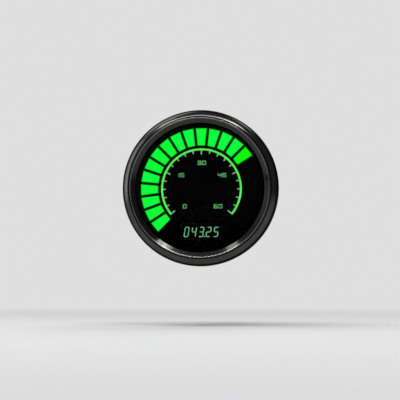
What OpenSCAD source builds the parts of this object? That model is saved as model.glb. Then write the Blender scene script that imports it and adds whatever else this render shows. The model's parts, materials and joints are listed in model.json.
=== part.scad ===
/* [Panel fit] */
// Hole in the panel that takes the housing
panel_hole_d = 52.4; // [52:0.1:53.4]
// Gap between the housing and the edge of that hole
panel_fit = 0.2; // [0.1:0.05:0.4]
// Distance from the bezel's seat to the feet of the clamp, as drawn
clamp_grip = 6; // [5.8:0.2:8]

/* [Bezel] */
// How far the bezel reaches beyond the panel's hole
bezel_overlap = 3.3; // [2.8:0.1:4.5]
// Thickness of the spun sheet
bezel_sheet = 0.7; // [0.5:0.05:0.8]
// Height of the straight side wall
bezel_wall_h = 2.3; // [2.2:0.1:2.8]
// Radius of the domed front
bezel_dome_r = 4.5; // [4.2:0.1:4.8]
// Angle up the dome at which the groove begins
bezel_dome_angle = 65; // [62:1:68]
// Depth of the groove between the dome and the crest
groove_depth = 0.2; // [0.1:0.05:0.3]
// Width of the groove's sloping side and of its floor
groove_w = [0.28, 0.17]; // [0.1:0.01:0.4]
// Radius of the crest round the opening
crest_r = 0.25; // [0.2:0.05:0.35]
// Height of the crest's middle above the groove's floor
crest_rise = 0.15; // [0.05:0.05:0.2]
// How far the edge of its opening lies inside the housing's inner wall
aperture_inset = 0.25; // [0.1:0.05:1]
// Gap between the bezel's rear lip and the housing
bezel_lip_gap = 0.35; // [0.2:0.05:0.5]

/* [Lens and seal] */
// Thickness of the flat lens
lens_t = 2; // [1.6:0.1:2.2]
// Gap round the edge of the lens
lens_gap = 0.35; // [0.2:0.05:0.6]
// Thickness of the rubber seal, pressed
gasket_t = 0.9; // [0.7:0.05:1.1]
// How far the seal stays inside the flange at each edge
gasket_inset = 0.7; // [0.4:0.1:0.8]
// Height of the ring between lens and dial
trim_h = 4.9; // [4:0.1:6]
// Wall of that ring
trim_wall = 0.6; // [0.4:0.05:0.8]

/* [Dial] */
// Thickness of the black mask
mask_t = 0.2; // [0.1:0.05:0.3]
// Thickness of the diffuser behind it
diffuser_t = 0.6; // [0.4:0.1:1.2]
// Angle from the first bar to the last
sweep_angle = 259; // [240:1:266]
// Bars between two numerals
bars_per_gap = 5; // [3:1:6]
// Share of the bars that are lit
lit_bars_share = 0.714; // [0.1:0.002:0.9]
// Black margin outside the bars
bar_margin = 1.35; // [1:0.05:3]
// Length of a bar
bar_l = 6.62; // [5:0.01:8]
// Gap between two bars
bar_gap = 0.95; // [0.4:0.05:1.2]
// Gap between the bars and the scale arc
arc_gap = 1.07; // [0.6:0.01:1.5]
// Width of the scale arc
arc_w = 0.7; // [0.6:0.05:1.4]
// Length of a short tick
tick_minor = 1.05; // [0.8:0.05:1.6]
// Length of a long tick
tick_major = 1.6; // [1.5:0.1:2.4]
// Width of a tick
tick_w = 0.36; // [0.25:0.01:0.5]
// Distance from the long ticks to the middle of the numerals
numeral_gap = 3.66; // [2.6:0.02:4.2]
// Height of a numeral
numeral_h = 1.5; // [1.2:0.05:1.7]
// Width of one of its digits
numeral_w = 1.35; // [1.2:0.05:1.6]
// Space between the digits of a pair
numeral_space = 0.42; // [0.2:0.02:0.6]
// Width of a numeral's stroke
numeral_stroke = 0.2; // [0.2:0.02:0.36]

/* [Readout] */
// Height of the readout's middle above the dial's lower edge
readout_rise = 8; // [6.6:0.1:9]
// Number of digits
readout_count = 5; // [3:1:5]
// Space between digits
readout_space = 1; // [0.7:0.05:1.2]
// Height of a digit
digit_h = 3.84; // [3.2:0.02:4]
// Width of a digit, without its slant
digit_w = 1.8; // [1.6:0.02:1.9]
// Width of a digit's segment
digit_stroke = 0.3; // [0.3:0.01:0.44]
// Slant of the digits
digit_slant_angle = 9; // [0:1:12]

/* [Light box] */
// Depth of the light box
light_box_h = 6; // [5:0.1:9]
// Height of a light source on the board
led_h = 0.9; // [0.6:0.1:1.6]
// Number of light sources behind the scale
scale_led_count = 8; // [5:1:11]

/* [Boards] */
// Thickness of both circuit boards
board_t = 1.6; // [1.2:0.1:2]
// Free height between the two boards
board_space = 9; // [8.6:0.1:12]
// Free height behind the rear board
rear_space = 8.7; // [8:0.1:12]
// How far the rear board's screws stand inside its edge
board_screw_inset = 4; // [3.2:0.1:4.6]

/* [Housing] */
// Side wall of the housing
can_wall = 1.4; // [1.1:0.05:1.5]
// Rear wall of the housing
rear_wall = 1.8; // [1.4:0.1:2.6]
// Thickness of the front flange
flange_t = 1.8; // [1.6:0.1:2.4]

/* [Socket] */
// Number of contacts
contact_count = 4; // [2:1:4]
// Distance between contacts
contact_pitch = 3.5; // [2.5:0.1:3.6]
// Width of the plug that the socket takes
plug_w = 15; // [13.6:0.1:15.4]
// Height of that plug
plug_h = 7.4; // [7:0.1:7.6]
// How far the plug goes in
plug_depth = 8.5; // [7:0.1:9]
// Wall of the socket
socket_wall = 1.2; // [1:0.1:1.4]

/* [Studs and clamp] */
// Distance between the two studs
stud_spacing = 30; // [29:0.5:33]
// Diameter of a stud
stud_d = 4; // [3.6:0.1:4.2]
// Free length between the housing and the clamp, as drawn
bridge_space = 8; // [7:0.5:12]
// Stud that stands out behind the thumb nuts, as drawn
stud_spare = 5.8; // [5.4:0.1:8]
// Thickness of the clamp's strip
strip_t = 1; // [0.8:0.1:1.5]
// Width of the clamp's strip
strip_w = 10; // [9:0.5:14]
// Diameter of a thumb nut
thumb_nut_d = 11; // [10:0.2:12]
// Height of a thumb nut
thumb_nut_h = 6; // [5:0.2:7]

/* [Hidden] */
$fn = 96;
// Extra length of every cut
overrun = 1;
// Circles on small fasteners and holes
small_fn = 32;
// Gap between flat pieces that drop in beside each other
slip = 0.1;
// Gap round each coloured field in the mask
ink_gap = 0.03;
// Running gap between a thread and its nut
thread_gap = 0.05;

// Radii of the housing and of what lies in it
can_r = panel_hole_d / 2 - panel_fit;
can_inner_r = can_r - can_wall;
bezel_r = panel_hole_d / 2 + bezel_overlap;
aperture_r = can_inner_r - aperture_inset;
flange_gap = 0.3;
flange_r = bezel_r - bezel_sheet - flange_gap;
trim_outer_r = can_inner_r - slip;
dial_r = trim_outer_r - slip;
box_r = dial_r - 2 * slip;
display_board_r = box_r;
main_board_gap = 0.6;
main_board_r = can_inner_r - main_board_gap;
board_screw_r = main_board_r - board_screw_inset;

// Planes from front to back, the panel's face being at zero
flange_front = bezel_sheet + flange_t;
lens_back = flange_front + gasket_t;
lens_front = lens_back + lens_t;
dial_front = lens_back - trim_h;
diffuser_front = dial_front - mask_t;
dial_back = diffuser_front - diffuser_t;
display_front = dial_back - light_box_h;
display_back = display_front - board_t;
main_front = display_back - board_space;
main_back = main_front - board_t;
rear_inside = main_back - rear_space;
rear_outside = rear_inside - rear_wall;
strip_front = rear_outside - bridge_space;
strip_back = strip_front - strip_t;
washer_t = 1;
washer_back = strip_back - washer_t;
nut_back = washer_back - thumb_nut_h;
stud_end = nut_back - stud_spare;

// Bezel's section: the dome's arc, the groove, the crest's arc, and the cone between crest and lens
dome_at = [bezel_r - bezel_dome_r, bezel_wall_h];
dome_end = dome_at + bezel_dome_r * [cos(bezel_dome_angle), sin(bezel_dome_angle)];
groove_at = dome_end - [groove_w[0], groove_depth];
crest_at = groove_at + [-groove_w[1] - crest_r, crest_rise];
cone_foot = [aperture_r, lens_front];
cone_reach = crest_at - cone_foot;
cone_angle = atan2(cone_reach.y, cone_reach.x) + asin(crest_r / norm(cone_reach));
bezel_corner_r = 1;
arc_steps = 12;
lens_r = dome_at.x
    + sqrt(pow(bezel_dome_r - bezel_sheet, 2) - pow(max(0, lens_front - dome_at.y), 2)) - lens_gap;

// Key rib along the top of the housing, behind the ring
key_w = 2;
key_h = 0.6;
key_inner_r = can_inner_r - key_h;

// Bars
numeral_values = [[0], [1, 5], [3, 0], [4, 5], [6, 0]];
// Where each numeral stands, as shares of the radius of their circle
numeral_place_shares = [[-0.672, -0.711], [-0.868, 0.554], [0.018, 1.05], [0.837, 0.54], [0.673, -0.713]];
bar_count = bars_per_gap * (len(numeral_values) - 1) + 1;
bar_pitch_angle = sweep_angle / (bar_count - 1);
lit_count = round(lit_bars_share * bar_count);
bar_angles = [for (i = [0 : bar_count - 1]) i * bar_pitch_angle - sweep_angle / 2];
bar_outer_r = dial_r - bar_margin;
bar_inner_r = bar_outer_r - bar_l;
arc_outer_r = bar_inner_r - arc_gap;
arc_inner_r = arc_outer_r - arc_w;
numeral_r = arc_inner_r - tick_major - numeral_gap;
numeral_pitch = numeral_w + numeral_space;

// Strokes of each digit that are on: top, upper right, lower right, bottom, lower left, upper left, middle
DIGIT_STROKES = [
    [1, 1, 1, 1, 1, 1, 0], [0, 1, 1, 0, 0, 0, 0], [1, 1, 0, 1, 1, 0, 1], [1, 1, 1, 1, 0, 0, 1],
    [0, 1, 1, 0, 0, 1, 1], [1, 0, 1, 1, 0, 1, 1], [1, 0, 1, 1, 1, 1, 1]
];
// Both ends of those strokes, as shares of half the digit's width and height
stroke_end_shares = [
    [[-1, 1], [1, 1]], [[1, 1], [1, 0]], [[1, 0], [1, -1]], [[1, -1], [-1, -1]],
    [[-1, -1], [-1, 0]], [[-1, 0], [-1, 1]], [[-1, 0], [1, 0]]
];

// Readout
readout_digits = [0, 4, 3, 2, 5];
point_after = 2;
readout_drop = dial_r - readout_rise;
readout_pitch = digit_w + readout_space;
segment_gap = 0.05;
segment_t = 0.1;
point_side = 0.42;
readout_margin = [0.7, 1.1];
readout_size = [
    (readout_count - 1) * readout_pitch + digit_w + digit_h * tan(digit_slant_angle) + 2 * readout_margin.x,
    digit_h + 2 * readout_margin.y
];
readout_recess = 0.1;
readout_front = dial_front - readout_recess;
readout_pin_r = 0.25;
readout_pin_pitch = 1.8;
readout_pin_count = 8;
readout_pin_inset = 0.7;
pin_tail = 1.2;
half_diagonal_share = sqrt(0.5);
pin_hole_gap = 0.1;

// Light box
channel_outer_r = arc_outer_r + slip;
channel_inset = 2.2;
channel_inner_r = numeral_r - channel_inset;
channel_margin_angle = 8;
led_size = [1.2, 2];
bar_led_r = (bar_outer_r + bar_inner_r) / 2;
scale_led_r = (channel_outer_r + channel_inner_r) / 2;
peg_r = 1;
peg_gap = 2;
peg_at = [readout_size.x / 3, readout_size.y / 2 - readout_drop + peg_gap + peg_r];

// Spacers between the boards and their screws
spacer_flats = 4;
small_screw_r = 1;
small_head_r = 1.9;
small_head_h = 1.2;
small_screw_grip = 3.4;
small_hole_gap = 0.2;
spacer_gap = 0.7;
socket_outer = [plug_w + 2 * socket_wall, plug_h + 2 * socket_wall];
spacer_x = max(socket_outer.x, readout_size.x) / 2 + small_head_r + spacer_gap;
spacer_places = [[0, 0], [-spacer_x, -readout_drop], [spacer_x, -readout_drop]];

// Screws that hold the rear board on the housing's bosses
board_screw_angles = [90, 210, 330];
big_screw_r = 1.25;
big_head_r = 2.4;
big_head_h = 1.5;
big_screw_grip = 6.5;
boss_r = 3;
boss_web = 1.4;
boss_hole_spare = 0.8;

// Parts on the boards: size, then the place of the centre as shares of the board's radius
driver_size = [5.3, 8.2, 1.9];
driver_place_shares = [[-0.54, 0.125], [0.54, 0.125]];
array_size = [3.2, 1.6, 0.6];
array_place_shares = [[-0.54, -0.17], [0.54, -0.17], [-0.54, -0.29], [0.54, -0.29]];
link_count = 6;
link_pitch = 2;
link_pin = 0.5;
link_place_share = [0, 0.56];
link_at = link_place_share * main_board_r;
link_socket_h = 4.3;
link_base_h = 2;
link_margin = 1.1;
link_size = [(link_count - 1) * link_pitch + 2 * link_margin, link_pitch + 2 * link_margin];
mcu_size = [7, 7, 1.4];
mcu_place_share = [-0.46, 0.21];
crystal_size = [3.2, 2.5, 0.8];
crystal_place_share = [-0.46, -0.11];
regulator_size = [6.6, 6.1, 2.3];
regulator_place_share = [0.36, -0.125];
regulator_tab = [4.6, 2.2, 0.5];
inductor_size = [4.8, 4.8, 2.8];
inductor_core_r = 1.9;
inductor_place_share = [0.42, -0.41];
electrolytic_r = 3.15;
electrolytic_h = 5.8;
electrolytic_base = [6.6, 6.6, 1];
electrolytic_place_shares = [[0.5, 0.44], [0.72, 0.06]];
diode_size = [4.3, 2.6, 2.2];
diode_place_share = [-0.41, -0.4];
chip_size = [1.25, 2, 0.8];
chip_cap_place_share = [-0.76, -0.025];
chip_cap_count = 4;
chip_res_place_share = [-0.175, 0.11];
chip_res_count = 3;
chip_pitch = 2.8;
lead_size = [0.9, 0.3, 0.15];
lead_pitch = 0.65;
driver_lead_count = 10;
mcu_lead_count = 8;

// Socket for the plug
contact_side = 0.8;
contact_gap = 0.05;
contact_reach = 6.8;
contact_offset = 1.1;
contact_tail = 0.9;
socket_rim = 1;
socket_fit = 0.15;
socket_inset = 3.5;
socket_at = [
    0, socket_inset + socket_outer.y / 2 - sqrt(pow(can_inner_r, 2) - pow(socket_outer.x / 2, 2))
];
socket_end = rear_outside - socket_rim;
socket_floor = socket_end + plug_depth;
contact_y = socket_at.y + plug_h / 2 - contact_side / 2 - contact_offset;

// Studs, nuts and clamp
stud_r = stud_d / 2;
stud_head_flats = 7;
stud_head_h = 2.8;
stud_tip = 0.5;
fixing_nut_h = 2.4;
leg_gap = 0.1;
leg_x = panel_hole_d / 2 + leg_gap;
bend_r = 4;
strip_hole_gap = 0.3;
washer_r = 3.8;
washer_slit = 0.8;
thumb_collar_r = 4;
thumb_collar_h = 1.2;
knurl_count = 24;
knurl_r = 0.45;
knurl_chamfer = 0.5;
rear_chamfer = 1;

// Corner radius of a hexagon whose flats are w apart
function hex_r(w) = w / 2 / cos(30);
// Points of an arc
function arc(at, r, from_angle, to_angle) =
    [for (i = [0 : arc_steps]) let (a = from_angle + (to_angle - from_angle) * i / arc_steps)
        at + r * [cos(a), sin(a)]];
// Ends of stroke i in a digit whose strokes' centre lines span w and h
function stroke_ends(i, w, h) = [for (e = stroke_end_shares[i]) [e.x * w / 2, e.y * h / 2]];
// A plain stroke with square ends from a to b
function plain_stroke(a, b, s) =
    let (u = (b - a) / norm(b - a) * s / 2, n = [-u.y, u.x]) [a - u + n, b + u + n, b + u - n, a - u - n];
// A pointed segment from a to b, shortened by the gap at both ends
function pointed_segment(a, b, s, gap) =
    let (u = (b - a) / norm(b - a), n = [-u.y, u.x] * s / 2, p = a + u * gap, q = b - u * gap, t = u * s / 2)
    [p, p + t + n, q - t + n, q, q - t - n, p + t - n];
function slanted(points) = [for (p = points) [p.x + p.y * tan(digit_slant_angle), p.y]];
function half_width(r, grow) =
    r * tan(bar_pitch_angle / 2) - bar_gap / 2 / cos(bar_pitch_angle / 2) + grow;

// From the dial's own plane, where z points at the viewer, to the object's frame
module standing() {
    rotate([90, 0, 0])
        children();
}

// One bar, centred on the twelve o'clock line
module bar_outline(grow) {
    inner = bar_inner_r - grow;
    outer = bar_outer_r + grow;
    polygon([
        [-half_width(inner, grow), inner], [half_width(inner, grow), inner],
        [half_width(outer, grow), outer], [-half_width(outer, grow), outer]
    ]);
}

module bars(first, last, grow) {
    for (i = [first : last])
        rotate(-bar_angles[i])
            bar_outline(grow);
}

// Ring sector, symmetric about the twelve o'clock line, cut square at both ends
module sector(inner_r, outer_r, half_angle, grow) {
    reach = outer_r + overrun;
    difference() {
        circle(r = outer_r + grow);
        circle(r = inner_r - grow);
        translate([0, -grow / sin(180 - half_angle)])
            polygon([
                [0, 0], [reach * sin(half_angle), reach * cos(half_angle)],
                [0, -reach / cos(180 - half_angle)],
                [-reach * sin(half_angle), reach * cos(half_angle)]
            ]);
    }
}

module arc_field(grow) {
    sector(arc_inner_r, arc_outer_r, sweep_angle / 2 + asin(tick_w / 2 / arc_outer_r), grow);
}

module tick_fields(grow) {
    for (i = [0 : bar_count - 1]) {
        long = i % bars_per_gap == 0;
        inner = arc_inner_r - (long ? tick_major : tick_minor);
        rotate(-bar_angles[i])
            translate([-tick_w / 2 - grow, inner - grow])
                square([tick_w + 2 * grow, arc_inner_r - inner + 2 * grow + ink_gap]);
    }
}

module numeral(digits, grow) {
    for (k = [0 : len(digits) - 1])
        translate([(k - (len(digits) - 1) / 2) * numeral_pitch, 0])
            for (i = [0 : len(stroke_end_shares) - 1])
                if (DIGIT_STROKES[digits[k]][i] == 1) {
                    ends = stroke_ends(i, numeral_w - numeral_stroke, numeral_h - numeral_stroke);
                    polygon(plain_stroke(ends[0], ends[1], numeral_stroke + 2 * grow));
                }
}

module numeral_fields(grow) {
    for (k = [0 : len(numeral_values) - 1])
        translate(numeral_place_shares[k] * numeral_r)
            numeral(numeral_values[k], grow);
}

// Disc with the notch that rides on the housing's key rib
module keyed_disc(r) {
    difference() {
        circle(r = r);
        translate([-key_w / 2 - slip, key_inner_r - slip])
            square([key_w + 2 * slip, r]);
    }
}

module readout_outline(grow) {
    translate([-readout_size.x / 2 - grow, -readout_drop - readout_size.y / 2 - grow])
        square(readout_size + [2 * grow, 2 * grow]);
}

module at_pins() {
    for (i = [0 : readout_pin_count - 1], side = [-1, 1])
        translate([
            (i - (readout_pin_count - 1) / 2) * readout_pin_pitch,
            side * (readout_size.y / 2 - readout_pin_inset) - readout_drop
        ])
            children();
}

module at_links() {
    for (i = [0 : link_count - 1], row = [-1, 1])
        translate(link_at + [(i - (link_count - 1) / 2) * link_pitch, row * link_pitch / 2])
            children();
}

module at_contacts() {
    for (i = [0 : contact_count - 1])
        translate([socket_at.x + (i - (contact_count - 1) / 2) * contact_pitch, contact_y])
            children();
}

module at_board_screws() {
    for (a = board_screw_angles)
        rotate(a)
            translate([board_screw_r, 0])
                children();
}

module at_studs() {
    for (side = [-1, 1])
        translate([side * stud_spacing / 2, 0])
            children();
}

// Box centred on its place, standing up from the plane z
module chip(size, at, z) {
    translate([at.x - size.x / 2, at.y - size.y / 2, z])
        cube(size);
}

// Chip with a row of flat leads on its left and right side
module leaded_chip(size, at, z, count) {
    chip(size, at, z);
    for (i = [0 : count - 1])
        chip(
            [size.x + 2 * lead_size.x, lead_size.y, lead_size.z],
            at + [0, (i - (count - 1) / 2) * lead_pitch], z
        );
}

module plane_at(z) {
    translate([0, 0, z])
        children();
}

module bezel() {
    wall_in = bezel_r - bezel_sheet;
    cone_inner = cone_foot.x + bezel_sheet / sin(cone_angle);
    corner = [bezel_r - bezel_corner_r, bezel_corner_r];
    color("dimgray")
        standing()
            rotate_extrude($fn = 180)
                polygon(concat(
                    [[can_r + bezel_lip_gap, 0]],
                    arc(corner, bezel_corner_r, -90, 0),
                    arc(dome_at, bezel_dome_r, 0, bezel_dome_angle),
                    [groove_at, crest_at + [crest_r, -crest_rise]],
                    arc(crest_at, crest_r, 0, cone_angle + 90),
                    [cone_foot, [cone_inner, lens_front]],
                    arc(dome_at, bezel_dome_r - bezel_sheet, bezel_dome_angle, 0),
                    [[wall_in, bezel_sheet], [can_r + bezel_lip_gap, bezel_sheet]]
                ));
}

module lens() {
    color("darkslategray", 0.4)
        standing()
            plane_at(lens_back)
                cylinder(h = lens_t, r = lens_r);
}

module ring(inner_r, outer_r, z, h) {
    plane_at(z)
        linear_extrude(h)
            difference() {
                circle(r = outer_r);
                circle(r = inner_r);
            }
}

module lens_gasket() {
    color("black")
        standing()
            ring(can_inner_r + gasket_inset, flange_r - gasket_inset, flange_front, gasket_t);
}

module trim_ring() {
    color("black")
        standing()
            ring(trim_outer_r - trim_wall, trim_outer_r, dial_front, trim_h);
}

module dial_mask() {
    color("black")
        standing()
            plane_at(diffuser_front)
                linear_extrude(mask_t)
                    difference() {
                        keyed_disc(dial_r);
                        bars(0, bar_count - 1, ink_gap);
                        arc_field(ink_gap);
                        tick_fields(ink_gap);
                        numeral_fields(ink_gap);
                        readout_outline(slip);
                    }
}

module dial_diffuser() {
    color("white", 0.7)
        standing()
            plane_at(dial_back)
                linear_extrude(diffuser_t)
                    difference() {
                        keyed_disc(dial_r);
                        readout_outline(slip);
                    }
}

// A coloured field of the dial, in the mask's windows
module field() {
    standing()
        plane_at(diffuser_front)
            linear_extrude(mask_t)
                children();
}

module lit_bar_windows() {
    color("lime")
        field()
            bars(0, lit_count - 1, 0);
}

module dark_bar_windows() {
    color("darkgreen")
        field()
            bars(lit_count, bar_count - 1, 0);
}

module scale_arc() {
    color("limegreen")
        field()
            arc_field(0);
}

module scale_ticks() {
    color("lightgreen")
        field()
            difference() {
                tick_fields(0);
                sector(arc_inner_r, arc_outer_r, sweep_angle / 2 + channel_margin_angle, ink_gap);
            }
}

module scale_numerals() {
    color("lightgreen")
        field()
            numeral_fields(0);
}

module readout_module() {
    color("black")
        standing()
            plane_at(display_front)
                linear_extrude(readout_front - display_front)
                    readout_outline(0);
}

// Segments of all digits that are on, or those that are off
module readout_segments(on) {
    for (k = [0 : readout_count - 1])
        translate([(k - (readout_count - 1) / 2) * readout_pitch, -readout_drop]) {
            for (i = [0 : len(stroke_end_shares) - 1])
                if (DIGIT_STROKES[readout_digits[k]][i] == on) {
                    ends = stroke_ends(i, digit_w - digit_stroke, digit_h - digit_stroke);
                    polygon(slanted(pointed_segment(ends[0], ends[1], digit_stroke, segment_gap)));
                }
            if ((k == point_after ? 1 : 0) == on && k < readout_count - 1)
                translate([(readout_pitch - point_side) / 2, 0])
                    polygon(slanted([
                        [0, -digit_h / 2], [point_side, -digit_h / 2],
                        [point_side, point_side - digit_h / 2], [0, point_side - digit_h / 2]
                    ]));
        }
}

module readout_lit_segments() {
    color("aquamarine")
        standing()
            plane_at(readout_front)
                linear_extrude(segment_t)
                    readout_segments(1);
}

module readout_dark_segments() {
    color("darkslategray")
        standing()
            plane_at(readout_front)
                linear_extrude(segment_t)
                    readout_segments(0);
}

module readout_pins() {
    color("silver")
        standing()
            at_pins()
                plane_at(display_back - pin_tail)
                    cylinder(h = board_t + pin_tail, r = readout_pin_r, $fn = small_fn);
}

module light_box() {
    color("whitesmoke")
        standing() {
            plane_at(display_front)
                linear_extrude(light_box_h)
                    difference() {
                        keyed_disc(box_r);
                        bars(0, bar_count - 1, 0);
                        sector(channel_inner_r, channel_outer_r, sweep_angle / 2 + channel_margin_angle, 0);
                        readout_outline(slip);
                        for (at = spacer_places)
                            translate(at)
                                circle(r = small_head_r + small_hole_gap);
                    }
            for (side = [-1, 1])
                translate([side * peg_at.x, peg_at.y, display_back])
                    cylinder(h = board_t * 1.5, r = peg_r, $fn = small_fn);
        }
}

module display_board() {
    color("darkgreen")
        standing()
            plane_at(display_back)
                linear_extrude(board_t)
                    difference() {
                        keyed_disc(display_board_r);
                        for (at = spacer_places)
                            translate(at)
                                circle(r = small_screw_r + small_hole_gap, $fn = small_fn);
                        for (side = [-1, 1])
                            translate([side * peg_at.x, peg_at.y])
                                circle(r = peg_r + slip, $fn = small_fn);
                        at_pins()
                            circle(r = readout_pin_r + pin_hole_gap, $fn = small_fn);
                    }
}

module leds(angles, r) {
    for (a = angles)
        rotate(-a)
            chip([led_size.x, led_size.y, led_h], [0, r], display_front);
}

module bar_leds() {
    color("palegreen")
        standing()
            leds(bar_angles, bar_led_r);
}

module scale_leds() {
    color("palegreen")
        standing()
            leds([for (i = [0 : scale_led_count - 1]) (i / (scale_led_count - 1) - 0.5) * sweep_angle], scale_led_r);
}

module segment_driver_chips() {
    color("dimgray")
        standing()
            for (share = driver_place_shares) {
                at = share * main_board_r;
                chip(driver_size, at, display_back - driver_size.z);
                for (i = [0 : driver_lead_count - 1])
                    chip(
                        [driver_size.x + 2 * lead_size.x, lead_size.y, lead_size.z],
                        at + [0, (i - (driver_lead_count - 1) / 2) * lead_pitch],
                        display_back - lead_size.z
                    );
            }
}

module resistor_arrays() {
    color("black")
        standing()
            for (share = array_place_shares)
                chip(array_size, share * main_board_r, display_back - array_size.z);
}

module link_header_socket() {
    color("black")
        standing()
            difference() {
                chip([link_size.x, link_size.y, link_socket_h], link_at, display_back - link_socket_h);
                at_links()
                    chip(
                        [link_pin + 2 * slip, link_pin + 2 * slip, link_socket_h],
                        [0, 0], display_back - link_socket_h - lead_size.y
                    );
            }
}

module link_header_base() {
    color("black")
        standing()
            difference() {
                chip([link_size.x, link_size.y, link_base_h], link_at, main_front);
                at_links()
                    chip(
                        [link_pin + slip, link_pin + slip, link_base_h + 2 * overrun],
                        [0, 0], main_front - overrun
                    );
            }
}

module link_header_pins() {
    top = display_back - link_socket_h / 4;
    color("gold")
        standing()
            at_links()
                chip([link_pin, link_pin, top - main_back + pin_tail], [0, 0], main_back - pin_tail);
}

module board_spacers() {
    color("goldenrod")
        standing()
            for (at = spacer_places)
                translate([at.x, at.y, main_front])
                    difference() {
                        cylinder(h = board_space, r = hex_r(spacer_flats), $fn = 6);
                        translate([0, 0, -overrun])
                            cylinder(h = board_space + 2 * overrun, r = small_screw_r + thread_gap, $fn = small_fn);
                    }
}

// Pan head screw, its head standing on z = 0 and its shank pointing down
module screw(head_r, head_h, shank_r, shank_l) {
    cylinder(h = head_h, r = head_r, $fn = small_fn);
    translate([0, 0, -shank_l])
        cylinder(h = shank_l + head_h / 2, r = shank_r, $fn = small_fn);
}

module front_spacer_screws() {
    color("silver")
        standing()
            for (at = spacer_places)
                translate([at.x, at.y, display_front])
                    screw(small_head_r, small_head_h, small_screw_r, board_t + small_screw_grip);
}

module rear_spacer_screws() {
    color("silver")
        standing()
            for (at = spacer_places)
                translate([at.x, at.y, main_back])
                    mirror([0, 0, 1])
                        screw(small_head_r, small_head_h, small_screw_r, board_t + small_screw_grip);
}

module main_board() {
    color("darkgreen")
        standing()
            plane_at(main_back)
                linear_extrude(board_t)
                    difference() {
                        keyed_disc(main_board_r);
                        for (at = spacer_places)
                            translate(at)
                                circle(r = small_screw_r + small_hole_gap, $fn = small_fn);
                        at_board_screws()
                            circle(r = big_screw_r + small_hole_gap, $fn = small_fn);
                        at_links()
                            circle(r = link_pin * half_diagonal_share + pin_hole_gap, $fn = small_fn);
                        at_contacts()
                            circle(r = contact_side * half_diagonal_share + pin_hole_gap, $fn = small_fn);
                    }
}

module microcontroller() {
    color("dimgray")
        standing() {
            mcu_at = mcu_place_share * main_board_r;
            leaded_chip(mcu_size, mcu_at, main_front, mcu_lead_count);
            for (i = [0 : mcu_lead_count - 1])
                chip(
                    [lead_size.y, mcu_size.y + 2 * lead_size.x, lead_size.z],
                    mcu_at + [(i - (mcu_lead_count - 1) / 2) * lead_pitch, 0], main_front
                );
        }
}

module crystal() {
    color("silver")
        standing()
            chip(crystal_size, crystal_place_share * main_board_r, main_front);
}

module voltage_regulator() {
    regulator_at = regulator_place_share * main_board_r;
    tab_overlap = regulator_tab.y / 2;
    color("dimgray")
        standing() {
            chip(regulator_size, regulator_at, main_front);
            chip(
                regulator_tab,
                regulator_at + [0, (regulator_size.y + regulator_tab.y) / 2 - tab_overlap], main_front
            );
        }
}

module inductor() {
    inductor_at = inductor_place_share * main_board_r;
    color("gray")
        standing()
            difference() {
                chip(inductor_size, inductor_at, main_front);
                translate([inductor_at.x, inductor_at.y, main_front + inductor_size.z * 3 / 4])
                    cylinder(h = inductor_size.z, r = inductor_core_r, $fn = small_fn);
            }
}

module electrolytic_capacitors() {
    color("silver")
        standing()
            for (share = electrolytic_place_shares) {
                at = share * main_board_r;
                chip(electrolytic_base, at, main_front);
                translate([at.x, at.y, main_front])
                    cylinder(h = electrolytic_h, r = electrolytic_r);
            }
}

module protection_diode() {
    color("black")
        standing()
            chip(diode_size, diode_place_share * main_board_r, main_front);
}

module chip_column(at, count) {
    for (i = [0 : count - 1])
        chip([chip_size.y, chip_size.x, chip_size.z], at + [0, i * chip_pitch], main_front);
}

module chip_capacitors() {
    color("tan")
        standing()
            chip_column(chip_cap_place_share * main_board_r, chip_cap_count);
}

module chip_resistors() {
    color("black")
        standing()
            chip_column(chip_res_place_share * main_board_r, chip_res_count);
}

module board_mount_screws() {
    color("silver")
        standing()
            plane_at(main_front)
                at_board_screws()
                    screw(big_head_r, big_head_h, big_screw_r, board_t + big_screw_grip);
}

module input_socket() {
    color("black")
        standing()
            difference() {
                chip([socket_outer.x, socket_outer.y, main_back - socket_end], socket_at, socket_end);
                chip([plug_w, plug_h, plug_depth + overrun], socket_at, socket_end - overrun);
                at_contacts()
                    chip(
                        [contact_side + 2 * contact_gap, contact_side + 2 * contact_gap,
                            main_back - socket_end + 2 * overrun],
                        [0, 0], socket_end - overrun
                    );
            }
}

module socket_contacts() {
    tip = socket_floor - contact_reach;
    color("gold")
        standing()
            at_contacts()
                chip([contact_side, contact_side, main_front + contact_tail - tip], [0, 0], tip);
}

module housing() {
    boss_base = rear_inside - rear_wall / 2;
    color("black")
        standing()
            difference() {
                union() {
                    rotate_extrude($fn = 180)
                        polygon([
                            [can_inner_r, flange_front], [flange_r, flange_front],
                            [flange_r, bezel_sheet], [can_r, bezel_sheet],
                            [can_r, rear_outside + rear_chamfer], [can_r - rear_chamfer, rear_outside],
                            [0, rear_outside], [0, rear_inside], [can_inner_r, rear_inside]
                        ]);
                    translate([-key_w / 2, key_inner_r, boss_base])
                        cube([key_w, key_h + can_wall / 2, dial_front - boss_base]);
                    plane_at(boss_base)
                        at_board_screws() {
                            cylinder(h = main_back - boss_base, r = boss_r, $fn = small_fn);
                            translate([0, -boss_web / 2])
                                cube([can_inner_r + can_wall / 2 - board_screw_r, boss_web, main_back - boss_base]);
                        }
                }
                plane_at(main_back - big_screw_grip - boss_hole_spare)
                    at_board_screws()
                        cylinder(h = main_board_r, r = big_screw_r + thread_gap, $fn = small_fn);
                at_studs()
                    plane_at(rear_outside - overrun)
                        cylinder(h = rear_wall + 2 * overrun, r = stud_r + slip, $fn = small_fn);
                chip(
                    [socket_outer.x + 2 * socket_fit, socket_outer.y + 2 * socket_fit, rear_wall + 2 * overrun],
                    socket_at, rear_outside - overrun
                );
            }
}

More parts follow.
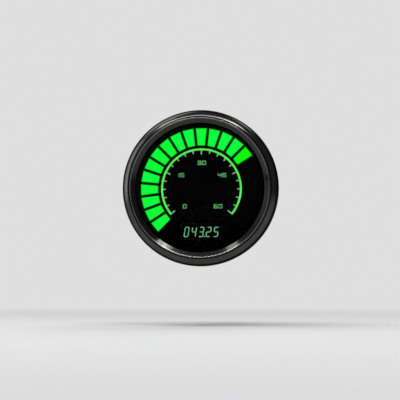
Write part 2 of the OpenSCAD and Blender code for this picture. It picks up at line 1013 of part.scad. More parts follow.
module mounting_studs() {
    color("silver")
        standing()
            at_studs() {
                plane_at(rear_inside)
                    rotate(90)
                        cylinder(h = stud_head_h, r = hex_r(stud_head_flats), $fn = 6);
                plane_at(stud_end + stud_tip)
                    cylinder(h = rear_inside - stud_end - stud_tip + stud_head_h / 2, r = stud_r);
                plane_at(stud_end)
                    cylinder(h = stud_tip, r1 = stud_r - stud_tip, r2 = stud_r);
            }
}

module stud_fixing_nuts() {
    color("silver")
        standing()
            at_studs()
                plane_at(rear_outside - fixing_nut_h)
                    difference() {
                        rotate(90)
                            cylinder(h = fixing_nut_h, r = hex_r(stud_head_flats), $fn = 6);
                        plane_at(-overrun)
                            cylinder(h = fixing_nut_h + 2 * overrun, r = stud_r + thread_gap);
                    }
}

// Right half of the clamp's bent section in the plane of x and z, round its foot
function clamp_side() =
    let (bend_at = [leg_x - bend_r, strip_front + bend_r])
    concat(
        arc(bend_at, bend_r + strip_t, -90, 0),
        [[leg_x + strip_t, -clamp_grip], [leg_x, -clamp_grip]],
        arc(bend_at, bend_r, 0, -90)
    );
// The same points on the other side, in the order that closes the outline
function mirrored(points) = [for (i = [len(points) - 1 : -1 : 0]) [-points[i].x, points[i].y]];

module clamp_bracket() {
    color("silver")
        difference() {
            translate([0, 0, -strip_w / 2])
                linear_extrude(strip_w)
                    mirror([0, 1, 0])
                        polygon(concat(clamp_side(), mirrored(clamp_side())));
            standing()
                at_studs()
                    plane_at(strip_back - overrun)
                        cylinder(h = strip_t + 2 * overrun, r = stud_r + strip_hole_gap);
        }
}

module lock_washers() {
    color("gray")
        standing()
            at_studs()
                plane_at(washer_back)
                    linear_extrude(washer_t)
                        difference() {
                            circle(r = washer_r);
                            circle(r = stud_r + slip);
                            translate([0, -washer_slit / 2])
                                square([washer_r + overrun, washer_slit]);
                        }
}

module thumb_nut(side) {
    outer_r = thumb_nut_d / 2;
    grip_h = thumb_nut_h - thumb_collar_h;
    color("silver")
        standing()
            translate([side * stud_spacing / 2, 0, nut_back])
                difference() {
                    union() {
                        cylinder(h = knurl_chamfer, r1 = outer_r - knurl_chamfer, r2 = outer_r);
                        plane_at(knurl_chamfer)
                            cylinder(h = grip_h - 2 * knurl_chamfer, r = outer_r);
                        plane_at(grip_h - knurl_chamfer)
                            cylinder(h = knurl_chamfer, r1 = outer_r, r2 = outer_r - knurl_chamfer);
                        plane_at(grip_h)
                            cylinder(h = thumb_collar_h, r = thumb_collar_r);
                    }
                    plane_at(-overrun)
                        cylinder(h = thumb_nut_h + 2 * overrun, r = stud_r + thread_gap);
                    for (i = [0 : knurl_count - 1])
                        rotate(i * 360 / knurl_count)
                            translate([outer_r, 0, -overrun])
                                cylinder(h = grip_h + overrun, r = knurl_r, $fn = 16);
                }
}

module thumb_nut_left() {
    thumb_nut(-1);
}

module thumb_nut_right() {
    thumb_nut(1);
}

bezel();
lens();
lens_gasket();
trim_ring();
dial_mask();
dial_diffuser();
lit_bar_windows();
dark_bar_windows();
scale_arc();
scale_ticks();
scale_numerals();
readout_module();
readout_lit_segments();
readout_dark_segments();
readout_pins();
light_box();
display_board();
bar_leds();
scale_leds();
segment_driver_chips();
resistor_arrays();
link_header_socket();
link_header_base();
link_header_pins();
board_spacers();
front_spacer_screws();
rear_spacer_screws();
main_board();
microcontroller();
crystal();
voltage_regulator();
inductor();
electrolytic_capacitors();
protection_diode();
chip_capacitors();
chip_resistors();
board_mount_screws();
input_socket();
socket_contacts();
housing();
mounting_studs();
stud_fixing_nuts();
clamp_bracket();
lock_washers();
thumb_nut_left();
thumb_nut_right();
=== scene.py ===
"""Looks of the boost gauge: studio, camera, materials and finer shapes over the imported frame."""
import json
import math

import bmesh
import bpy
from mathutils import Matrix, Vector


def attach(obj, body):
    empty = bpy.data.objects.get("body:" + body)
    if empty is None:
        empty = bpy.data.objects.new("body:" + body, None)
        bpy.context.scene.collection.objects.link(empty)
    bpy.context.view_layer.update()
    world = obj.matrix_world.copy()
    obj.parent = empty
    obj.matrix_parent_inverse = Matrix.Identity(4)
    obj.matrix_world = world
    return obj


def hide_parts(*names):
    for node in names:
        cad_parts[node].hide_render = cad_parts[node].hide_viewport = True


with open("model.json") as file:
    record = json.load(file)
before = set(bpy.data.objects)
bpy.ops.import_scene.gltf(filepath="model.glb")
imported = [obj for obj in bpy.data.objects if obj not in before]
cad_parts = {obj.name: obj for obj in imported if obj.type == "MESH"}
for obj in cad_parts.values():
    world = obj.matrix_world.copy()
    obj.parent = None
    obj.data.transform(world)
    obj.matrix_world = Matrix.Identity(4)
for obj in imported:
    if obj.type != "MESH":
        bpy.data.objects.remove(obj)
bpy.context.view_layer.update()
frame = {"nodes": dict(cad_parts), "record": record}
scene = bpy.context.scene
MM = 0.001


# Materials: a small layer over the shader nodes

class Nodes:
    """A cleared node tree with short calls for its nodes; each gives back an output socket."""

    def __init__(self, tree, output):
        self.tree = tree
        tree.nodes.clear()
        self.surface = tree.nodes.new("ShaderNodeOutput" + output).inputs[0]

    def put(self, socket, value):
        if isinstance(value, bpy.types.NodeSocket):
            self.tree.links.new(value, socket)
        elif isinstance(value, (tuple, list)) and len(value) == 3 and socket.type == "RGBA":
            socket.default_value = (*value, 1)
        else:
            socket.default_value = value

    def node(self, kind, inputs=(), out=0, **props):
        made = self.tree.nodes.new("ShaderNode" + kind)
        for key, value in props.items():
            setattr(made, key, value)
        for key, value in dict(inputs).items():
            self.put(made.inputs[key], value)
        return made.outputs[out]

    def math(self, operation, a, b=0.0):
        return self.node("Math", {0: a, 1: b}, operation=operation)

    def plus(self, a, b):
        return self.math("ADD", a, b)

    def minus(self, a, b):
        return self.math("SUBTRACT", a, b)

    def times(self, a, b):
        return self.math("MULTIPLY", a, b)

    def length(self, a, b):
        return self.math("SQRT", self.plus(self.times(a, a), self.times(b, b)))

    def place(self):
        return self.node("TexCoord", out="Object")

    def axes(self, vector=None):
        split = self.tree.nodes.new("ShaderNodeSeparateXYZ")
        self.put(split.inputs[0], vector or self.place())
        return split.outputs

    def vector(self, x, y, z=0.0):
        return self.node("CombineXYZ", {0: x, 1: y, 2: z})

    def noise(self, scale, detail=3.0, rough=0.5, where=None, distort=0.0):
        return self.node("TexNoise", {
            "Vector": where or self.place(), "Scale": scale, "Detail": detail,
            "Roughness": rough, "Distortion": distort,
        })

    def span(self, value, low, high, to_low=0.0, to_high=1.0, smooth=False):
        return self.node("MapRange", {
            "Value": value, "From Min": low, "From Max": high,
            "To Min": to_low, "To Max": to_high,
        }, interpolation_type="SMOOTHSTEP" if smooth else "LINEAR")

    def spread(self, pattern, low=0.0, high=1.0):
        """A noise pattern, whose values lie mostly from 0.3 to 0.7, spread from low to high."""
        return self.span(pattern, 0.3, 0.7, low, high)

    def band(self, value, middle, flat, fade):
        """1 within flat of the middle, falling to 0 over the fade beyond it."""
        off = self.math("ABSOLUTE", self.minus(value, middle))
        return self.span(off, flat + fade, flat, smooth=True)

    def hump(self, value, start, full, last_full, end):
        """0 up to the start, 1 between full and last_full, 0 again from the end."""
        return self.times(
            self.span(value, start, full, smooth=True),
            self.span(value, end, last_full, smooth=True))

    def mix(self, share, a, b):
        """Two colours mixed: sockets 6, 7 and 2 are the colour ones of this node."""
        return self.node("Mix", {0: share, 6: a, 7: b}, out=2, data_type="RGBA")


class Look(Nodes):
    """A material round one Principled shader."""

    def __init__(self, name, colour, rough, metal=0.0, **sockets):
        self.name = name
        self.material = bpy.data.materials.new(name)
        self.material.use_nodes = True
        super().__init__(self.material.node_tree, "Material")
        self.shader = self.tree.nodes.new("ShaderNodeBsdfPrincipled")
        self.put(self.surface, self.shader.outputs[0])
        self.set("Base Color", colour)
        self.set("Roughness", rough)
        self.set("Metallic", metal)
        for socket, value in sockets.items():
            self.set(socket.replace("_", " "), value)

    def set(self, name, value):
        self.put(self.shader.inputs[name], value)

    def source(self, name):
        """The output that is linked to one of the shader's sockets."""
        return self.shader.inputs[name].links[0].from_socket

    def polar(self):
        """Distance from the Y axis, and the angle round it from twelve o'clock."""
        x, _, z = self.axes()
        return self.length(x, z), self.math("ARCTAN2", x, z)

    def tones(self, share, colour, dark, light):
        """The colour, times dark at share 0 and times light at share 1."""
        self.set("Base Color", self.mix(
            share, [c * dark for c in colour], [min(1, c * light) for c in colour]))

    def roughen(self, pattern, low, high):
        self.set("Roughness", self.spread(pattern, low, high))

    def bump(self, height, depth):
        """Relief, on top of any that is there."""
        inputs = {"Height": height, "Distance": depth}
        if self.shader.inputs["Normal"].links:
            inputs["Normal"] = self.source("Normal")
        self.set("Normal", self.node("Bump", inputs))


def zinc(name, colour, rough):
    """Plated or rolled metal with hairline scratches and a cloudy film."""
    look = Look(name, colour, rough, 1.0)
    along = look.node("Mapping", {"Vector": look.place(), "Scale": (9000, 300, 700)})
    scratch = look.noise(1.0, 2.0, where=along)
    film = look.noise(260.0, 4.0, 0.6)
    look.tones(look.span(film, 0.35, 0.7), colour, 0.82, 1.12)
    worn = look.plus(film, look.times(scratch, 0.5))
    look.set("Roughness", look.span(worn, 0.5, 1.0, rough - 0.1, rough + 0.14))
    look.bump(scratch, 0.004 * MM)
    return look


def turned(name, colour, rough):
    """Metal with fine grooves across the Y axis, as a lathe leaves them."""
    look = Look(name, colour, rough, 1.0)
    _, y, _ = look.axes()
    groove = look.noise(1.0, 2.0, where=look.vector(look.times(y, 7000.0), 2.0, 4.0))
    look.tones(look.spread(look.noise(400.0, 3.0, 0.6)), colour, 0.85, 1.1)
    look.roughen(groove, rough - 0.06, rough + 0.12)
    look.bump(groove, 0.006 * MM)
    return look


def moulded(name, colour, rough, grain=0.012, scale=5200.0, **sockets):
    """Plastic with the fine spark texture of its mould."""
    look = Look(name, colour, rough, **sockets)
    look.tones(look.spread(look.noise(150.0, 3.0)), colour, 0.8, 1.25)
    look.roughen(look.noise(420.0, 3.0), rough - 0.07, rough + 0.07)
    look.bump(look.noise(scale, 2.0, 0.55), grain * MM)
    return look


def resin(name, colour, rough, **sockets):
    """Cast plastic with a slight swirl."""
    look = Look(name, colour, rough, **sockets)
    swirl = look.noise(900.0, 3.0, 0.6, distort=0.6)
    look.tones(look.spread(swirl), colour, 0.85, 1.15)
    look.roughen(swirl, rough - 0.05, rough + 0.08)
    look.bump(swirl, 0.003 * MM)
    return look


def bezel_metal():
    """Polished dark chrome with lathe streaks; painted shade on the inner cone, a painted highlight
    on the crest, painted shade in the groove and on the outer rim.
    """
    cone_r, crest_r, groove_r, rim_r = 25.9 * MM, 26.16 * MM, 26.76 * MM, 28.45 * MM
    look = Look("bezel_metal", (0.07, 0.07, 0.072), 0.18, 1.0, Specular_Tint=(0.4, 0.4, 0.4))
    r, angle = look.polar()
    _, y, _ = look.axes()
    run = look.plus(r, y)

    def streaks(detail, rough, across, along):
        where = look.vector(look.times(run, across), look.times(angle, along))
        return look.noise(1.0, detail, rough, where)

    fine, broad = streaks(3.0, 0.6, 9000.0, 2.6), streaks(2.0, 0.5, 1500.0, 1.3)
    cloud = look.noise(170.0, 3.0, 0.55)
    tone = look.plus(look.times(fine, 0.6), look.times(cloud, 0.4))
    colour = look.mix(
        look.span(tone, 0.36, 0.64), (0.049, 0.0495, 0.047), (0.081, 0.0815, 0.0765))
    for share, other in (
        # painted shade: the inner cone's base colour is darker from below the crest down to the
        # lens
        (look.span(r, cone_r + 0.15 * MM, cone_r, smooth=True), (0.038, 0.0382, 0.0365)),
        # painted highlight: the crest's base colour is brighter, for the bright line along it
        (look.band(r, crest_r, 0.1 * MM, 0.2 * MM), (0.17, 0.168, 0.165)),
        # painted shade: the groove's base colour is nearly black
        (look.band(r, groove_r, 0.12 * MM, 0.2 * MM), (0.007, 0.007, 0.0072)),
        # painted shade: the base colour darkens over the outer rim
        (look.span(r, rim_r, rim_r + 0.5 * MM, smooth=True), (0.017, 0.017, 0.0175)),
    ):
        colour = look.mix(share, colour, other)
    look.set("Base Color", colour)
    rough = look.span(look.plus(fine, broad), 0.75, 1.25, 0.12, 0.2)
    polish = look.span(r, cone_r, cone_r + 0.2 * MM, 0.6, 1.0)
    look.set("Roughness", look.times(rough, polish))
    look.bump(fine, 0.0002 * MM)
    look.bump(broad, 0.0012 * MM)
    look.bump(cloud, 0.004 * MM)
    return look


def lens_smoked():
    """Nearly clear glass with a little dust."""
    look = Look("lens_smoked", (0.62, 0.63, 0.63), 0.0, Transmission_Weight=1.0, IOR=1.08)
    dust = look.noise(900.0, 4.0, 0.7)
    look.set("Roughness", look.span(dust, 0.6, 0.85, 0.0, 0.03))
    return look


def rubber():
    """Dull black with fine pores."""
    look = Look("gasket_rubber", (0.018, 0.018, 0.019), 0.8)
    pores = look.noise(2600.0, 4.0, 0.65)
    look.set("Base Color", look.mix(pores, (0.012, 0.012, 0.013), (0.03, 0.03, 0.031)))
    look.roughen(pores, 0.72, 0.9)
    look.bump(pores, 0.02 * MM)
    return look


def ceramic():
    """The tan fired body of a chip capacitor."""
    look = Look("capacitor_tan", (0.5, 0.38, 0.24), 0.45)
    fired = look.noise(2400.0, 4.0, 0.6)
    tan = look.mix(look.spread(fired), (0.42, 0.31, 0.19), (0.6, 0.46, 0.31))
    look.set("Base Color", tan)
    look.roughen(fired, 0.36, 0.55)
    look.bump(fired, 0.005 * MM)
    return look


def board_green():
    """Solder mask over copper: lighter where tracks run, with small round pads."""
    look = Look("board_green", (0.02, 0.16, 0.06), 0.32, Coat_Weight=0.3, Coat_Roughness=0.15)
    x, _, z = look.axes()
    lane_x, lane_z = (look.math("ROUND", look.times(v, 900.0)) for v in (x, z))
    upright = look.noise(0.9, 1.0, where=look.vector(lane_x, look.times(z, 60.0)))
    level = look.noise(0.9, 1.0, where=look.vector(look.times(x, 60.0), lane_z, 5.0))
    copper = look.math(
        "MAXIMUM",
        look.math("GREATER_THAN", upright, 0.56), look.math("GREATER_THAN", level, 0.6))
    cells = look.node("TexVoronoi", {"Vector": look.place(), "Scale": 420.0}, out="Distance")
    pads = look.math("LESS_THAN", cells, 0.16)
    green = look.mix(look.noise(220.0), (0.012, 0.11, 0.04), (0.02, 0.16, 0.062))
    green = look.mix(look.times(copper, 0.7), green, (0.045, 0.27, 0.11))
    look.set("Base Color", look.mix(pads, green, (0.62, 0.6, 0.5)))
    look.roughen(look.noise(500.0), 0.26, 0.4)
    look.bump(copper, 0.02 * MM)
    look.bump(look.noise(1800.0), 0.004 * MM)
    return look


# The dial: the strength of all that is lit, and the bars, counted from twelve o'clock, with the
# distances of their flat ends from the middle
LIT = 1.62
BAR_PITCH = math.radians(12.95)
BAR_FOOT, BAR_TOP, BAR_HALF_GAP = 16.43 * MM, 23.05 * MM, 0.475 * MM
LAST_LIT_BAR = 4


def lit_field(name, low, high, body):
    """Translucent ink lit from behind: slightly uneven, as the light spreads in the diffuser."""
    look = Look(name, body, 0.45, Specular_IOR_Level=0.3)
    haze = look.noise(420.0, 3.0, 0.55)
    grain = look.noise(4200.0, 2.0)
    share = look.span(look.plus(haze, look.times(grain, 0.35)), 0.5, 0.85)
    look.set("Emission Color", look.mix(share, low, high))
    look.set("Emission Strength", LIT)
    look.roughen(grain, 0.38, 0.52)
    look.bump(grain, 0.003 * MM)
    return look


def bar_lit():
    """Each bar has its own slight hue and a soft rim; the last one is a purer green."""
    look = lit_field("bar_lit", (0.0014, 0.93, 0.034), (0.0018, 0.99, 0.044), (0.0, 0.03, 0.002))
    r, angle = look.polar()
    number = look.math("ROUND", look.math("DIVIDE", angle, BAR_PITCH))
    off = look.math("ABSOLUTE", look.minus(angle, look.times(number, BAR_PITCH)))
    along = look.times(r, look.math("COSINE", off))
    to_next = look.times(r, look.math("SINE", look.minus(BAR_PITCH / 2, off)))
    side = look.minus(to_next, BAR_HALF_GAP)
    ends = look.math("MINIMUM", look.minus(along, BAR_FOOT), look.minus(BAR_TOP, along))
    rim = look.span(look.math("MINIMUM", side, ends), -0.02 * MM, 0.26 * MM, smooth=True)
    hue = look.node("TexWhiteNoise", {"Vector": look.vector(number, 7.0, 3.0)})
    cool = look.mix(0.5, look.source("Emission Color"), (0.0012, 0.94, 0.02))
    tinted = look.mix(look.times(hue, 0.8), cool, (0.0016, 0.97, 0.058))
    last = look.math("GREATER_THAN", number, LAST_LIT_BAR - 0.5)
    coloured = look.mix(last, tinted, (0.0035, 0.89, 0.0012))
    look.set("Emission Color", look.mix(rim, (0.0, 0.2, 0.006), coloured))
    return look


def ink_black():
    """Black ink over the dial; light from the lit fields creeps a little way into it."""
    look = Look("mask_black", (0.002, 0.002, 0.0022), 0.6, Specular_IOR_Level=0.005)
    r, angle = look.polar()
    speck = look.noise(3500.0, 3.0, 0.6)
    look.set("Base Color", look.mix(speck, (0.0012, 0.0012, 0.0014), (0.003, 0.003, 0.0033)))
    look.roughen(look.noise(700.0), 0.55, 0.7)
    look.bump(speck, 0.004 * MM)
    bar_ring = look.hump(r, 15.7 * MM, 16.4 * MM, 23.1 * MM, 23.7 * MM)
    bar_turn = look.hump(angle, *(math.radians(a) for a in (-137, -133, 57, 62)))
    arc_ring = look.hump(r, 14.0 * MM, 14.7 * MM, 15.3 * MM, 16.0 * MM)
    arc_turn = look.span(
        look.math("ABSOLUTE", angle), math.radians(134), math.radians(130), smooth=True)
    glow = look.plus(
        look.times(bar_ring, bar_turn), look.times(look.times(arc_ring, arc_turn), 0.5))
    share = look.times(glow, look.span(speck, 0.2, 0.8, 0.7, 1.0))
    look.set("Emission Color", look.mix(share, (0, 0, 0), (0.0, 0.014, 0.0018)))
    look.set("Emission Strength", 1.0)
    return look


def diffuser_white():
    """White behind the lit bars; the cells behind the unlit ones get no light and look dark."""
    look = resin("diffuser_white", (0.76, 0.78, 0.74), 0.5)
    _, angle = look.polar()
    unlit = look.span(angle, math.radians(56), math.radians(60))
    look.set("Base Color", look.mix(unlit, look.source("Base Color"), (0.03, 0.03, 0.03)))
    return look


LOOKS = {look.name: look for look in (
    bezel_metal(),
    lens_smoked(),
    rubber(),
    moulded("trim_black", (0.002, 0.002, 0.0022), 0.75, 0.006, 4200.0, Specular_IOR_Level=0.01),
    ink_black(),
    diffuser_white(),
    bar_lit(),
    moulded("bar_dark", (0.0022, 0.003, 0.0024), 0.55, 0.003, 3000.0, Specular_IOR_Level=0.03),
    lit_field("arc_lit", (0.08, 0.72, 0.06), (0.13, 0.88, 0.12), (0.01, 0.05, 0.01)),
    lit_field("tick_lit", (0.13, 0.5, 0.14), (0.22, 0.64, 0.22), (0.02, 0.05, 0.02)),
    lit_field("numeral_lit", (0.08, 0.45, 0.12), (0.17, 0.67, 0.22), (0.01, 0.03, 0.01)),
    resin("readout_black", (0.002, 0.002, 0.0022), 0.5, Specular_IOR_Level=0.005),
    lit_field("segment_lit", (0.105, 0.41, 0.17), (0.21, 0.6, 0.29), (0.01, 0.03, 0.015)),
    moulded("segment_dark", (0.004, 0.0055, 0.0045), 0.5, 0.002, 3000.0, Specular_IOR_Level=0.03),
    moulded("light_box_white", (0.78, 0.79, 0.77), 0.5),
    board_green(),
    resin("led_clear", (0.72, 0.82, 0.62), 0.2),
    moulded("chip_black", (0.022, 0.022, 0.024), 0.55),
    moulded("header_black", (0.014, 0.014, 0.016), 0.42),
    zinc("contact_gold", (0.83, 0.6, 0.26), 0.24),
    zinc("tinned_pin", (0.68, 0.68, 0.66), 0.32),
    turned("spacer_brass", (0.74, 0.55, 0.25), 0.26),
    zinc("screw_zinc", (0.6, 0.61, 0.63), 0.3),
    zinc("crystal_can", (0.66, 0.66, 0.64), 0.28),
    moulded("inductor_grey", (0.11, 0.11, 0.115), 0.6, 0.02, 3000.0),
    turned("capacitor_can", (0.68, 0.69, 0.71), 0.3),
    ceramic(),
    moulded("socket_black", (0.016, 0.016, 0.018), 0.42),
    moulded("housing_black", (0.02, 0.02, 0.022), 0.5, 0.02, 2600.0),
    zinc("stud_steel", (0.58, 0.59, 0.61), 0.3),
    zinc("nut_steel", (0.56, 0.57, 0.58), 0.32),
    zinc("bracket_zinc", (0.56, 0.57, 0.6), 0.34),
    zinc("washer_steel", (0.4, 0.4, 0.41), 0.38),
    turned("thumb_nut_nickel", (0.68, 0.66, 0.6), 0.26),
)}
SLOT_OF = {part["node"]: part["material_slot"] for part in frame["record"]["subparts"]}
for node, slot in SLOT_OF.items():
    for place in frame["nodes"][node].material_slots:
        place.material = LOOKS[slot].material


# Pieces that stand for a node with finer shape

def piece(name, mesh, node, body, smooth_angle=35):
    obj = bpy.data.objects.new(name, mesh)
    scene.collection.objects.link(obj)
    mesh.materials.clear()
    mesh.materials.append(LOOKS[SLOT_OF[node]].material)
    mesh.shade_smooth()
    mesh.set_sharp_from_angle(angle=math.radians(smooth_angle))
    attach(obj, body)
    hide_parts(node)
    return obj


def to_mesh(bm, name):
    mesh = bpy.data.meshes.new(name)
    bm.to_mesh(mesh)
    bm.free()
    return mesh


def lathe(name, profile, count):
    """A closed section of points (radius, y), turned round the Y axis."""
    bm = bmesh.new()
    rings = []
    for i in range(count):
        a = 2 * math.pi * i / count
        rings.append([bm.verts.new((r * math.sin(a), y, r * math.cos(a))) for r, y in profile])
    n = len(profile)
    for i in range(count):
        here, there = rings[i], rings[(i + 1) % count]
        for k in range(n):
            bm.faces.new((here[k], here[(k + 1) % n], there[(k + 1) % n], there[k]))
    bmesh.ops.recalc_face_normals(bm, faces=bm.faces)
    return to_mesh(bm, name)


def arc(cx, cz, r, start, end, steps):
    angles = [math.radians(start + (end - start) * i / steps) for i in range(steps + 1)]
    return [(cx + r * math.cos(a), cz + r * math.sin(a)) for a in angles]


def rounded(before, corner, after, share):
    """The corner of a section, cut back towards both neighbours and softened."""
    a, c = ([q + (p - q) * share for p, q in zip(end, corner)] for end in (before, after))
    return [
        tuple((1 - t) ** 2 * p + 2 * t * (1 - t) * q + t * t * w for p, q, w in zip(a, corner, c))
        for t in (0, 0.25, 0.5, 0.75, 1)
    ]


def bezel_section():
    """The sheet of the bezel as in the solid: wall, dome, groove, crest, cone down to the lens."""
    outer_r, sheet, wall_h, dome_r, dome_a = 29.5, 0.7, 2.3, 4.5, 65.0
    back_r, lip_r, foot_r, foot_z = 1.0, 26.35, 24.35, 5.4
    groove_in, groove_deep, groove_w, crest_r, crest_rise = 0.28, 0.2, 0.17, 0.25, 0.15
    dome_x, dome_end = outer_r - dome_r, math.radians(dome_a)
    dome = arc(dome_x, wall_h, dome_r, 0, dome_a - 1, 36)
    end = (dome_x + dome_r * math.cos(dome_end), wall_h + dome_r * math.sin(dome_end))
    groove = (end[0] - groove_in, end[1] - groove_deep)
    groove_end = (groove[0] - groove_w, groove[1])
    crest = (groove_end[0] - crest_r, groove_end[1] + crest_rise)
    reach = math.hypot(crest[0] - foot_r, crest[1] - foot_z)
    cone = math.atan2(crest[1] - foot_z, crest[0] - foot_r) + math.asin(crest_r / reach)
    points = [(lip_r, 0.0)]
    points += arc(outer_r - back_r, back_r, back_r, -90, 0, 10) + dome
    points += rounded(dome[-1], end, groove, 0.3)
    points += rounded(end, groove, groove_end, 0.3) + [groove_end]
    points += arc(*crest, crest_r, 0, math.degrees(cone) + 90, 14)
    top, lens_edge = points[-1], (foot_r, foot_z)
    points += [tuple(a + (b - a) * share for a, b in zip(top, lens_edge)) for share in (0.02, 0.94)]
    inner_foot = (foot_r + sheet / math.sin(cone), foot_z)
    points += rounded(top, lens_edge, inner_foot, 0.04) + [inner_foot]
    points += arc(dome_x, wall_h, dome_r - sheet, dome_a, 0, 14)
    points += [(outer_r - sheet, sheet), (lip_r, sheet)]
    return [(r * MM, -z * MM) for r, z in points]


def softened(name, node, body, width):
    """The node's own shape with its sharp edges rounded off."""
    bm = bmesh.new()
    bm.from_mesh(frame["nodes"][node].data)
    bmesh.ops.remove_doubles(bm, verts=bm.verts, dist=1e-6)
    bmesh.ops.dissolve_limit(bm, angle_limit=math.radians(0.8), verts=bm.verts, edges=bm.edges)
    obj = piece(name, to_mesh(bm, name), node, body)
    bevel = obj.modifiers.new("edges", "BEVEL")
    bevel.width, bevel.segments, bevel.limit_method = width * MM, 2, "ANGLE"
    bevel.angle_limit, bevel.harden_normals = math.radians(32), True
    shaped = obj.evaluated_get(bpy.context.evaluated_depsgraph_get())
    obj.data = bpy.data.meshes.new_from_object(shaped)
    obj.modifiers.clear()


def clamped(value):
    return min(1.0, max(0.0, value))


def stud(bm, x, head_front, seat, end):
    """A stud with a chamfered hexagon head and a right-hand thread, along Y at x."""
    sides, shank_r, thread_r, half_flats, corner_r = 48, 2.0, 1.98, 3.5, 3.95
    pitch, depth, step, first = 0.7, 0.36, 0.07, 0.05
    flat_top, flank, plain, tip_length = 0.08, 0.36, 2.0, 0.5

    def ring(y, radius):
        return [
            bm.verts.new(((x + radius(a) * math.sin(a)) * MM, y * MM, radius(a) * math.cos(a) * MM))
            for a in (2 * math.pi * i / sides for i in range(sides))
        ]

    def hexagon(a):
        return half_flats / math.cos((a + math.pi / 6) % (math.pi / 3) - math.pi / 6)

    rings = [ring(y, lambda a: min(limit, hexagon(a))) for y, limit in (
        (head_front, 3.2), (head_front + 0.02, 3.3), (head_front + 0.35, corner_r),
        (seat - 0.35, corner_r), (seat, 3.4), (seat, shank_r),
    )]
    for k in range(int((end - seat - first) / step) + 1):
        y = seat + first + k * step
        tip = max(0.0, y - (end - tip_length))
        start = clamped((y - seat - plain) / pitch)

        def thread(a):
            turn = (y / pitch - a / (2 * math.pi)) % 1.0
            rise = clamped((abs(turn - 0.5) - flat_top) / flank)
            return min(thread_r - depth * (1 - rise) * start, shank_r - tip)

        rings.append(ring(y, thread))
    for low, high in zip(rings, rings[1:]):
        for i in range(sides):
            j = (i + 1) % sides
            bm.faces.new((low[i], low[j], high[j], high[i]))
    bm.faces.new(rings[0][::-1])
    bm.faces.new(rings[-1])


piece("bezel_ring", lathe("bezel_ring", bezel_section(), 360), "bezel", "gauge", 60)
for name, node, body, width in (
    ("moulded_housing", "housing", "gauge", 0.25),
    ("moulded_socket", "input_socket", "gauge", 0.2),
    ("folded_bracket", "clamp_bracket", "clamp", 0.15),
    ("spring_washers", "lock_washers", "clamp", 0.12),
    ("fixing_nuts", "stud_fixing_nuts", "gauge", 0.2),
    ("knurled_nut_left", "thumb_nut_left", "left_nut", 0.1),
    ("knurled_nut_right", "thumb_nut_right", "right_nut", 0.1),
):
    softened(name, node, body, width)
STUD_X, STUD_HEAD, STUD_SEAT, STUD_END = (-15, 15), 26.4, 29.2, 52.8
studs = bmesh.new()
for stud_x in STUD_X:
    stud(studs, stud_x, STUD_HEAD, STUD_SEAT, STUD_END)
bmesh.ops.recalc_face_normals(studs, faces=studs.faces)
piece("threaded_studs", to_mesh(studs, "threaded_studs"), "mounting_studs", "gauge", 40)


# Studio

def aim(obj, at):
    obj.rotation_mode = "QUATERNION"
    obj.rotation_quaternion = (Vector(at) - obj.location).to_track_quat("-Z", "Y")


def softbox(name, at, size, radiance, towards=(0, 0, 0)):
    """A rectangular lamp of even radiance: its width and height as seen from the object."""
    lamp = bpy.data.lights.new(name, "AREA")
    lamp.shape, lamp.size, lamp.size_y = "RECTANGLE", *size
    lamp.energy = 4 * size[0] * size[1] * radiance
    obj = bpy.data.objects.new(name, lamp)
    scene.collection.objects.link(obj)
    obj.location = at
    aim(obj, towards)


def seen_at(clock, off_axis, distance):
    """The place at a clock angle as seen from the dial, so many degrees off the dial's axis."""
    c, p = math.radians(clock), math.radians(off_axis)
    return Vector((math.sin(p) * math.sin(c), -math.cos(p), math.sin(p) * math.cos(c))) * distance


# One straight strip over the front, in four lengths, makes the bright line round the top of the
# bezel; the two keys beyond it show as bright patches in the lower part of the inner cone
STRIP, STRIP_WIDTH = seen_at(0, 58.2, 0.6), 0.08
for name, left, right, radiance in (
    ("left", -0.38, -0.2, 16.5), ("middle", -0.2, 0.06, 17.0),
    ("right", 0.06, 0.245, 18.0), ("end", 0.245, 0.305, 8.0),
):
    middle = Vector(((left + right) / 2, 0, 0))
    softbox("strip_" + name, STRIP + middle, (right - left, STRIP_WIDTH), radiance, middle)
softbox("key_left", seen_at(-31, 67.5, 0.62), (0.14, 0.075), 4.5)
softbox("key_right", seen_at(23, 67.5, 0.62), (0.12, 0.075), 3.5)
# These light the dome of the bezel, the left side and the back
softbox("rim_left", seen_at(-28, 107, 0.6), (0.42, 0.3), 2.4)
softbox("rim_right", seen_at(27, 113, 0.6), (0.2, 0.14), 4.5)
softbox("side_left", Vector((-0.6, -0.029, 0.21)), (0.378, 0.6), 1.65, (0, -0.029, 0.21))
softbox("back_fill", seen_at(25, 142, 0.8), (0.45, 0.45), 1.7)

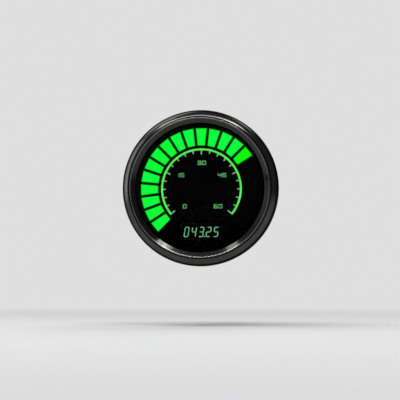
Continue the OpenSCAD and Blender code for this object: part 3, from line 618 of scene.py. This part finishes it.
# The camera sees one even backdrop; what the metal mirrors darkens from left to right
BACKDROP, SKY_LEFT, SKY_RIGHT = (0.74, 0.74, 0.75), (0.36, 0.36, 0.36), (0.15, 0.15, 0.15)
world = bpy.data.worlds.new("studio")
scene.world = world
world.use_nodes = True
sky = Nodes(world.node_tree, "World")
sky_x, _, _ = sky.axes(sky.node("TexCoord", out="Generated"))
mirrored = sky.node("Background", {
    "Color": sky.mix(sky.span(sky_x, -0.9, 0.6), SKY_LEFT, SKY_RIGHT), "Strength": 1.0})
seen = sky.node("Background", {"Color": BACKDROP, "Strength": 1.0})
sky.put(sky.surface, sky.node("MixShader", {
    0: sky.node("LightPath", out="Is Camera Ray"), 1: mirrored, 2: seen}))

# A paper floor that goes over into the backdrop for the camera, so no horizon shows
FLOOR_Z, FLOOR_HALF, FADE_FROM, FADE_TO = -0.052, 4, 0.1, 0.62
floor_mesh = bpy.data.meshes.new("floor")
floor_mesh.from_pydata(
    [(x * FLOOR_HALF, y * FLOOR_HALF, FLOOR_Z) for x, y in ((-1, -1), (1, -1), (1, 1), (-1, 1))],
    [], [(0, 1, 2, 3)])
floor = bpy.data.objects.new("floor", floor_mesh)
scene.collection.objects.link(floor)
paper = Look("floor_paper", (0.51, 0.51, 0.518), 0.8)
paper.set("Base Color", paper.mix(
    paper.noise(60.0, 4.0), (0.5, 0.5, 0.508), (0.52, 0.52, 0.528)))
floor_x, floor_y, _ = paper.axes()
far = paper.span(paper.length(floor_x, floor_y), FADE_FROM, FADE_TO, smooth=True)
glow = paper.node("Emission", {"Color": BACKDROP, "Strength": 1.0})
share = paper.times(far, paper.node("LightPath", out="Is Camera Ray"))
paper.put(paper.surface, paper.node("MixShader", {
    0: share, 1: paper.shader.outputs[0], 2: glow}))
floor_mesh.materials.append(paper.material)

scene.view_settings.view_transform = "Standard"

# The photo's camera: below the dial's axis and a little to its right; metres, and the sensor in mm
TARGET = Vector((0, -0.003, 0))
AZIMUTH, ELEVATION, DISTANCE = math.radians(5.2), math.radians(-4), 0.55
SENSOR, VIEW_WIDTH = 36, 0.1505
camera_data = bpy.data.cameras.new("camera")
camera = bpy.data.objects.new("camera", camera_data)
scene.collection.objects.link(camera)
scene.camera = camera
camera.location = TARGET + DISTANCE * Vector((
    math.sin(AZIMUTH) * math.cos(ELEVATION), -math.cos(AZIMUTH) * math.cos(ELEVATION),
    math.sin(ELEVATION)))
aim(camera, TARGET)
camera_data.sensor_width = SENSOR
camera_data.lens = SENSOR * DISTANCE / VIEW_WIDTH
camera_data.shift_x, camera_data.shift_y = -0.0007, -0.0303
camera_data.clip_start, camera_data.clip_end = 0.01, 20
